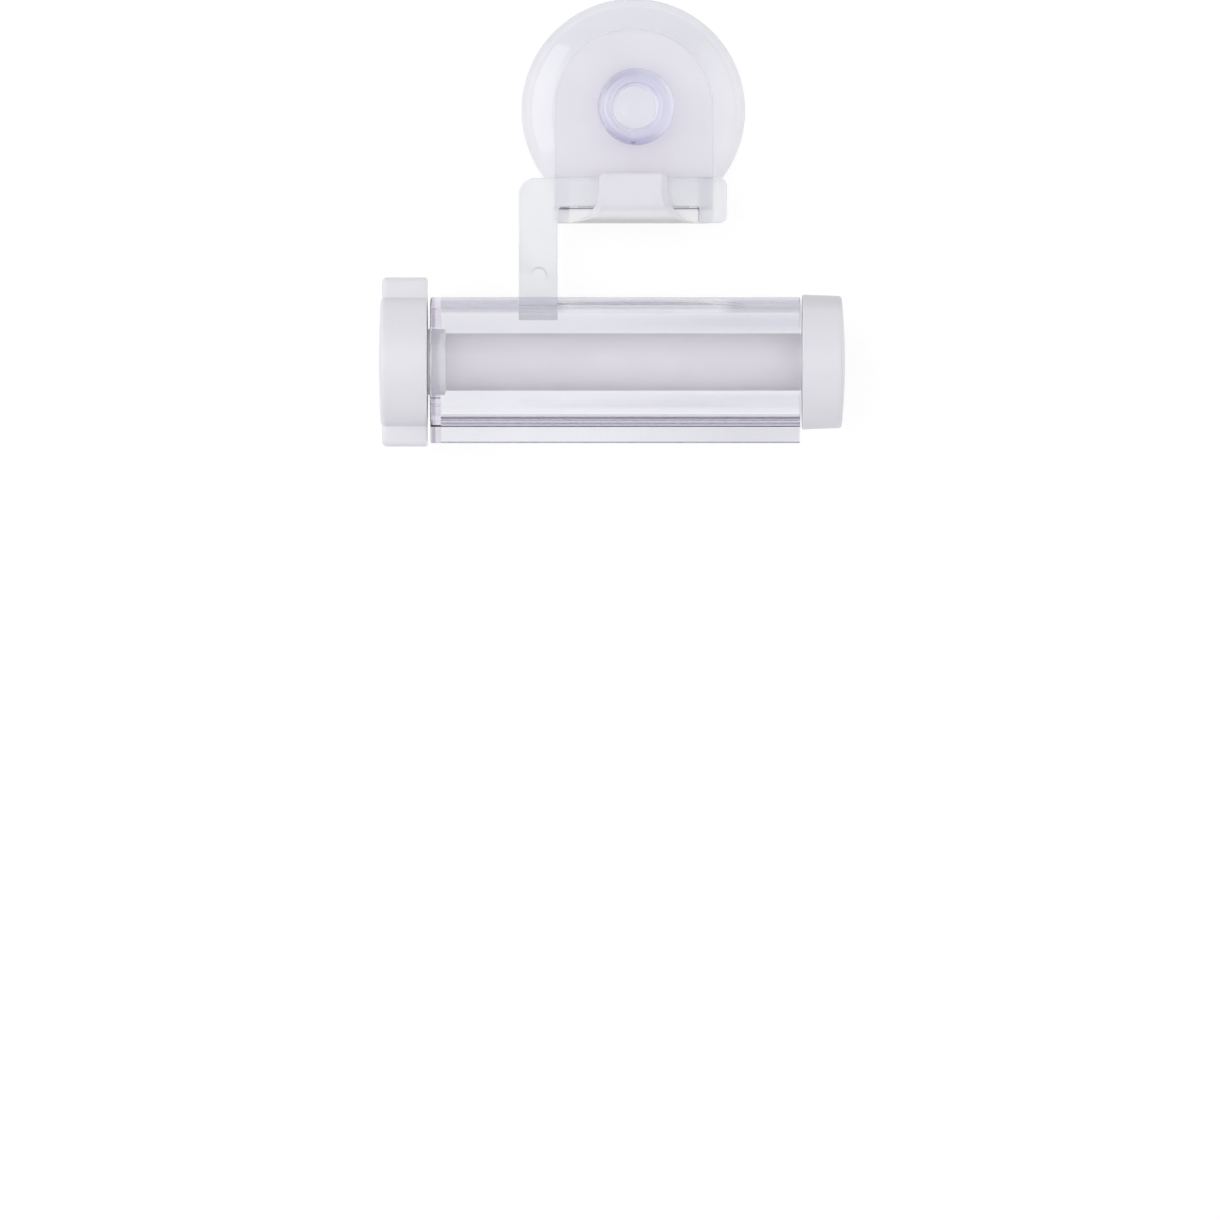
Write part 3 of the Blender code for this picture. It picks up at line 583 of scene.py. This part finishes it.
def tongueBevel(s, way):
    # The broad bevel down one side of the tongue: a cut that widens towards the front. It
    # starts behind the bevel and as far out beside the tongue, and ends in front of it.
    beyond = way * (s["halfWidth"] + past)
    above = s["tongueTop"] + past
    below = s["shelfBottom"] - s["flare"]
    side = way * (s["tongueHalfWidth"] + past)
    radius = s["flare"] - past
    flareMiddle = side + way * radius
    waist = s["shelfBottom"] + s["flare"]
    angle = math.radians(s["flareAngle"])
    footX = flareMiddle - way * radius * math.cos(angle)
    bm = cutOut(fromFront, alongY, s["tongueFront"] - s["bevel"] - past, [
        (side, above, 0),
        (side, waist, 0),
        (flareMiddle, waist, -way * angle, 3 * cornerSteps),
        (footX, below, 0),
        (beyond, below, 0),
        (beyond, above, 0),
    ])
    widen = s["bevel"] + 2 * past
    pull(bm, fromFront(0, 0, widen))
    for vert in bm.verts:
        if -vert.co.y > s["tongueFront"] and abs(vert.co.x - beyond) > apart:
            away = Vector((vert.co.x - flareMiddle, 0, min(vert.co.z - waist, 0)))
            vert.co += away.normalized() * widen
    return bm


def makePlate(s, hook):
    half = s["halfWidth"]
    plate = cutOut(fromFront, alongY, s["back"], [
        (half, s["bottom"], s["footRound"]),
        (half, 0, 0),
        (0, 0, -math.pi, turnSteps // 2),
        (-half, s["bottom"], s["footRound"]),
    ])
    pull(plate, Vector((0, s["back"] - s["front"], 0)))
    softenEdges(plate, s["edge"], 3)
    piece = asObject(plate, "hook_plate_body")
    before, behind = s["front"] + past, s["back"] - past
    hole = disc(s["neckHole"], fromFront, alongY, (0, 0), behind, before)
    combine(piece, hole, "DIFFERENCE")
    inside = s["legInside"]
    window = slab([
        (-inside, hook["shelfTop"], s["windowRound"]),
        (inside, hook["shelfTop"], s["windowRound"]),
        (inside, s["windowTop"], s["windowRound"]),
        (-inside, s["windowTop"], s["windowRound"]),
    ], fromFront, behind, before)
    combine(piece, window, "DIFFERENCE")
    combine(piece, makeHook(hook), "UNION")
    return finishPiece(piece, "hook", "hook_plate", naturalPolypropylene)


makePlate(plateSizes, hookSizes)

armSizes = {
    "back": 12.0, "front": 15.0, "left": -23.0, "width": 7.8, "barTop": -14.0,
    "barBottom": -19.7, "stopLeft": 13.2, "stopWidth": 5.5, "stopBottom": -23.0,
    "corner": 3.3, "stopRound": 1.5, "fillet": 1.2, "stopFillet": 0.6, "edge": 0.22,
    "seat": 13.3, "markX": -18.95, "markZ": -33.5, "markRadius": 1.6, "markDepth": 0.35,
}


def makeArm(s):
    inner = s["left"] + s["width"]
    right = s["stopLeft"] + s["stopWidth"]
    bm = slab([
        (s["left"], s["barTop"], s["corner"]),
        (s["left"], keyHeight, 0),
        (inner, keyHeight, 0),
        (inner, s["barBottom"], s["fillet"]),
        (s["stopLeft"], s["barBottom"], s["stopFillet"]),
        (s["stopLeft"], s["stopBottom"], s["stopFillet"]),
        (right, s["stopBottom"], s["stopRound"]),
        (right, s["barTop"], s["stopRound"]),
    ], fromFront, s["back"], s["front"])
    softenEdges(bm, s["edge"], 4)
    piece = asObject(bm, "hanger_arm_bar")
    beyond = s["width"]
    seat = disc(s["seat"], roundKey, alongX, (0, 0), s["left"] - beyond, inner + beyond)
    combine(piece, seat, "DIFFERENCE")
    mark = disc(s["markRadius"], fromFront, alongY, (s["markX"], s["markZ"]),
                s["front"] - s["markDepth"], s["front"] + past)
    combine(piece, mark, "DIFFERENCE")
    return finishPiece(piece, "hanger", "hanger_arm", milkyPolypropylene)


makeArm(armSizes)

sleeveSizes = {
    "left": -40.6, "right": 33.3, "radius": 13.0, "wall": 1.5, "endWall": 2.1,
    "endRound": 0.9, "slot": 2.4, "lipDrop": 16.2, "lipRound": 0.5, "lipBlend": 0.4,
    "slotBlend": 0.7, "shaftHole": 6.9, "edge": 0.2,
}


def keyhole(radius, halfWidth, blend, drop, corner, start, end):
    # a bar with a round top and a straight tail below, blended where they meet
    height = -math.sqrt((radius + blend) ** 2 - (halfWidth + blend) ** 2)
    spread = math.atan2(halfWidth + blend, -height)
    inward = spread - math.pi / 2
    bm = cutOut(roundKey, alongX, start, [
        (-halfWidth, -drop, corner),
        (halfWidth, -drop, corner),
        (halfWidth, height, 0),
        (halfWidth + blend, height, inward, cornerSteps),
        (0, 0, 2 * (math.pi - spread), turnSteps),
        (-halfWidth - blend, height, inward, cornerSteps),
    ])
    pull(bm, Vector((end - start, 0, 0)))
    return bm


def makeSleeve(s):
    half = s["slot"] / 2
    outside = keyhole(s["radius"], half + s["wall"], s["lipBlend"], s["lipDrop"],
                      s["lipRound"], s["left"], s["right"])
    softenEdges(outside, s["endRound"], 6, lambda a, b: max(a.x, b.x) < s["left"] + near)
    piece = asObject(outside, "sleeve_tube")
    boreStart = s["left"] + s["endWall"]
    bore = keyhole(s["radius"] - s["wall"], half, s["slotBlend"], s["lipDrop"] + past,
                   0, boreStart, s["right"] + past)
    combine(piece, bore, "DIFFERENCE")
    hole = disc(s["shaftHole"], roundKey, alongX, (0, 0), s["left"] - past, boreStart + past)
    combine(piece, hole, "DIFFERENCE")
    bm = reopen(piece)
    softenEdges(bm, s["edge"], 3, lambda a, b: min(a.x, b.x) > s["right"] - near)
    bm.to_mesh(piece.data)
    bm.free()
    return finishPiece(piece, "hanger", "sleeve", crystalPolystyrene)


makeSleeve(sleeveSizes)

rollerSizes = {
    "rod": 5.75, "tip": 0.6, "collar": 6.6, "collarLeft": -41.15, "collarRight": -37.6,
    "prongEnd": 38.9, "slit": 1.2, "slitStart": -33.5, "tang": 7.4,
    "tangRound": 0.6, "tangEnd": -46.7, "edge": 0.3, "overlap": 0.3,
}


def square(side, rounding, start, end):
    half = side / 2
    corners = ((-half, -half), (half, -half), (half, half), (-half, half))
    return slab([(u, v, rounding) for u, v in corners], roundKey, start, end)


def makeRoller(s):
    piece = asObject(latheOnKey([
        (s["collarLeft"], 0, 0),
        (s["collarLeft"], s["collar"], s["edge"]),
        (s["collarRight"], s["collar"], s["edge"]),
        (s["collarRight"], s["rod"], s["edge"]),
        (s["prongEnd"], s["rod"], s["tip"]),
        (s["prongEnd"], 0, 0),
    ]), "roller_rod")
    tang = square(s["tang"], s["tangRound"], s["tangEnd"],
                  s["collarLeft"] + s["overlap"])
    combine(piece, tang, "UNION")
    half = s["slit"] / 2
    beyond = s["collar"] + past
    slit = slab([
        (-half, -beyond, 0), (half, -beyond, 0), (half, beyond, 0), (-half, beyond, 0),
    ], roundKey, s["slitStart"], s["prongEnd"] + past)
    combine(piece, slit, "DIFFERENCE")
    return finishPiece(piece, "key", "roller", greyedAbs)


makeRoller(rollerSizes)

knobSizes = {
    "inner": -41.2, "rim": -50.5, "crown": 0.4, "radius": 13.0, "round": 1.0,
    "innerRound": 0.5, "face": 2.0, "wall": 1.8,
    "hub": rollerSizes["tang"] / math.sqrt(2) + 2.1,  # 2.1 outside the tang's corners
    "wingReach": 16.9, "wingWidth": 4.2, "wingRound": 1.2, "wingSetback": 0.2,
    "wingEnd": 1.0, "wingEdge": 0.4, "socket": 8.0, "socketEnd": -47.0,
    "socketRound": 0.6, "insideEdge": 0.3, "fillet": 0.4,
    "crownEase": 0.3,  # how far the crown's broad rounding stays short of the rim's
}


def makeKnob(s):
    outer = s["rim"] - s["crown"]
    hollow = s["radius"] - s["wall"]
    floor = outer + s["face"]
    piece = asObject(latheOnKey([
        (s["inner"], 0, 0),
        (s["inner"], s["hub"], s["insideEdge"]),
        (floor, s["hub"], s["fillet"]),
        (floor, hollow, s["fillet"]),
        (s["inner"], hollow, s["insideEdge"]),
        (s["inner"], s["radius"], s["innerRound"]),
        (s["rim"], s["radius"], s["round"]),
        (outer, s["radius"] / 2, s["radius"] / 2 - s["round"] - s["crownEase"]),
        (outer, 0, 0),
    ]), "turning_knob_body")
    half = s["wingWidth"] / 2
    root = s["radius"] - s["wall"] / 2
    wingEnd = s["rim"] + s["wingSetback"]

    def standsOut(a, b):
        heights = [abs(a.z - keyHeight), abs(b.z - keyHeight)]
        return min(heights) > root - near and max(heights) > root + near

    for way in (1, -1):
        wing = slab([
            (-half, way * root, 0), (-half, way * s["wingReach"], s["wingRound"]),
            (half, way * s["wingReach"], s["wingRound"]), (half, way * root, 0),
        ], roundKey, wingEnd, s["inner"])
        softenEdges(wing, s["wingEnd"], 8, lambda a, b:
                    standsOut(a, b) and max(a.x, b.x) < wingEnd + near)
        softenEdges(wing, s["wingEdge"], 4, lambda a, b:
                    standsOut(a, b) and min(a.x, b.x) > s["inner"] - near)
        combine(piece, wing, "UNION")
    socket = square(s["socket"], s["socketRound"], s["socketEnd"], s["inner"] + past)
    combine(piece, socket, "DIFFERENCE")
    return finishPiece(piece, "key", "turning_knob", satinAbs)


makeKnob(knobSizes)

capSizes = {
    "inner": 33.7, "outer": 42.3, "radius": 13.5, "taper": 0.3, "crown": 0.7, "round": 0.6,
    "innerRound": 0.3, "face": 2.2, "wall": 1.6, "socket": 6.05, "bossWall": 1.6,
    "chamfer": 0.3, "fillet": 0.3, "crownEase": 0.3,  # crownEase as on the knob
}


def makeCap(s):
    floor = s["outer"] - s["face"]
    boss = s["socket"] + s["bossWall"]
    skirt = s["radius"] - s["taper"]
    hollow = skirt - s["wall"]
    piece = asObject(latheOnKey([
        (floor, 0, 0),
        (floor, s["socket"], s["fillet"]),
        (s["inner"], s["socket"], s["chamfer"]),
        (s["inner"], boss, s["chamfer"]),
        (floor, boss, s["fillet"]),
        (floor, hollow, s["fillet"]),
        (s["inner"], hollow, s["chamfer"]),
        (s["inner"], s["radius"], s["innerRound"]),
        (s["outer"] - s["crown"], skirt, s["round"]),
        (s["outer"], skirt / 2, skirt / 2 - s["round"] - s["crownEase"]),
        (s["outer"], 0, 0),
    ]), "end_cap_body")
    return finishPiece(piece, "cap", "end_cap", satinAbs)


makeCap(capSizes)

stage = {
    "wallWidth": 3000, "wallHeight": 2400, "wallGap": 0.4, "floorDrop": 650,
    "colour": "#fbfbfc", "bounce": "#e4e4e6",  # as seen, and as it lights the object
    "glow": 0.72, "glowStrength": 1.1,
}


def stageMaterial(name, s):
    # White paper seen from the front: pale for the light on it, and for the eye a white that
    # keeps the faint shadow. It is open from behind, so that the back can be looked at.
    material = bpy.data.materials.new(name)
    material.use_nodes = True
    tree = material.node_tree
    tree.nodes.clear()
    rays = addNode(tree, "ShaderNodeLightPath")
    direct = addNode(tree, "ShaderNodeMath", {"operation": "MAXIMUM"}, {
        0: rays.outputs["Is Camera Ray"], 1: rays.outputs["Is Glossy Ray"]})
    seen = addNode(tree, "ShaderNodeMath", {"operation": "MAXIMUM"}, {
        0: direct.outputs[0], 1: rays.outputs["Is Transmission Ray"]})
    paper = addNode(tree, "ShaderNodeBsdfDiffuse", inputs={"Color": toLinear(s["colour"])})
    bounce = addNode(tree, "ShaderNodeBsdfDiffuse", inputs={"Color": toLinear(s["bounce"])})
    white = addNode(tree, "ShaderNodeEmission", inputs={"Strength": s["glowStrength"]})
    glow = mixShaders(tree, s["glow"], paper.outputs["BSDF"], white.outputs["Emission"])
    shown = mixShaders(tree, seen.outputs[0], bounce.outputs["BSDF"], glow)
    side = addNode(tree, "ShaderNodeNewGeometry")
    nothing = addNode(tree, "ShaderNodeBsdfTransparent")
    final = mixShaders(tree, side.outputs["Backfacing"], shown, nothing.outputs["BSDF"])
    addNode(tree, "ShaderNodeOutputMaterial", inputs={"Surface": final})
    return material


def makeSheet(name, material, turn, shift):
    # a square of side 1, brought to size
    bm = bmesh.new()
    bmesh.ops.create_grid(bm, x_segments=1, y_segments=1, size=0.5)
    bmesh.ops.scale(bm, vec=(stage["wallWidth"] * mm, stage["wallHeight"] * mm, 1),
                    verts=bm.verts)
    bmesh.ops.transform(bm, matrix=Matrix.Translation(shift) @ turn, verts=bm.verts)
    sheet = asObject(bm, name)
    sheet.data.materials.append(material)


paperWhite = stageMaterial("matWhitePaper", stage)
makeSheet("wall", paperWhite, Matrix.Rotation(math.radians(90), 4, "X"),
          Vector((0, stage["wallGap"] * mm, 0)))
makeSheet("floor", paperWhite, Matrix.Identity(4),
          Vector((0, 0, -stage["floorDrop"] * mm)))
print("wall and floor made")

light = {
    "worldLight": 0.57, "worldSeen": 1.0, "worldColour": "#ffffff",
    "glossAbove": 0.4, "glossBelow": 0.95, "gradientLow": -0.3, "gradientHigh": 0.7,
    "aim": (0, 0, -0.03),  # what the lamps point at
    "lamps": {  # power in watts, width and height, and place, in metres
        "keyLamp": (9.3, (1.2, 1.2), (-0.75, -1.75, 0.2)),
        "fillLamp": (4.2, (1.2, 1.2), (1.0, -1.65, 0.05)),
        "leftLamp": (6, (0.6, 2.6), (-1.40, -0.42, 0.03)),
        "rightLamp": (2.6, (0.6, 2.6), (1.40, -0.42, 0.03)),
    },
}


def makeWorld(s):
    # an even white room, which gloss sees as dimmer overhead
    world = bpy.data.worlds.new("softRoom")
    world.use_nodes = True
    tree = world.node_tree
    tree.nodes.clear()
    rays = addNode(tree, "ShaderNodeLightPath")
    seen = addNode(tree, "ShaderNodeMath", {"operation": "MAXIMUM"}, {
        0: rays.outputs["Is Camera Ray"], 1: rays.outputs["Is Transmission Ray"]})
    way = addNode(tree, "ShaderNodeSeparateXYZ", inputs={
        "Vector": addNode(tree, "ShaderNodeTexCoord").outputs["Generated"]})
    height = addNode(tree, "ShaderNodeMapRange", inputs={
        "Value": way.outputs["Z"], "From Min": s["gradientLow"],
        "From Max": s["gradientHigh"], "To Min": s["glossBelow"], "To Max": s["glossAbove"]})
    room, gloss, white = [
        addNode(tree, "ShaderNodeBackground", inputs={
            "Color": toLinear(s["worldColour"]), "Strength": strength}).outputs[0]
        for strength in (s["worldLight"], height.outputs["Result"], s["worldSeen"])
    ]
    soft = mixShaders(tree, rays.outputs["Is Glossy Ray"], room, gloss)
    final = mixShaders(tree, seen.outputs[0], soft, white)
    addNode(tree, "ShaderNodeOutputWorld", inputs={"Surface": final})
    bpy.context.scene.world = world


def makeLamp(name, power, size, place):
    lamp = bpy.data.lights.new(name, "AREA")
    lamp.shape = "RECTANGLE"
    lamp.size, lamp.size_y = size
    lamp.energy = power
    holder = bpy.data.objects.new(name, lamp)
    bpy.context.scene.collection.objects.link(holder)
    holder.location = place
    aim = Vector(light["aim"]) - Vector(place)
    holder.rotation_euler = aim.to_track_quat("-Z", "Y").to_euler()


makeWorld(light)
for name, (power, size, place) in light["lamps"].items():
    makeLamp(name, power, size, place)
print("lights made")

view = {
    "away": 3.0,  # metres from the sleeve's axis
    "across": -0.0047, "up": -0.1006,  # where the middle of the photograph falls
    "width": 0.244,  # what the photograph spans at the sleeve
    "film": 36, "farthest": 50,
}


def makeCamera(s):
    camera = bpy.data.cameras.new("camera")
    camera.sensor_width = s["film"]
    camera.lens = s["film"] * s["away"] / s["width"]
    camera.clip_end = s["farthest"]
    holder = bpy.data.objects.new("camera", camera)
    bpy.context.scene.collection.objects.link(holder)
    holder.location = (s["across"], -keyDepth * mm - s["away"], s["up"])
    holder.rotation_euler = (math.radians(90), 0, 0)
    bpy.context.scene.camera = holder


makeCamera(view)
bpy.context.scene.view_settings.view_transform = "Standard"
print("camera made")
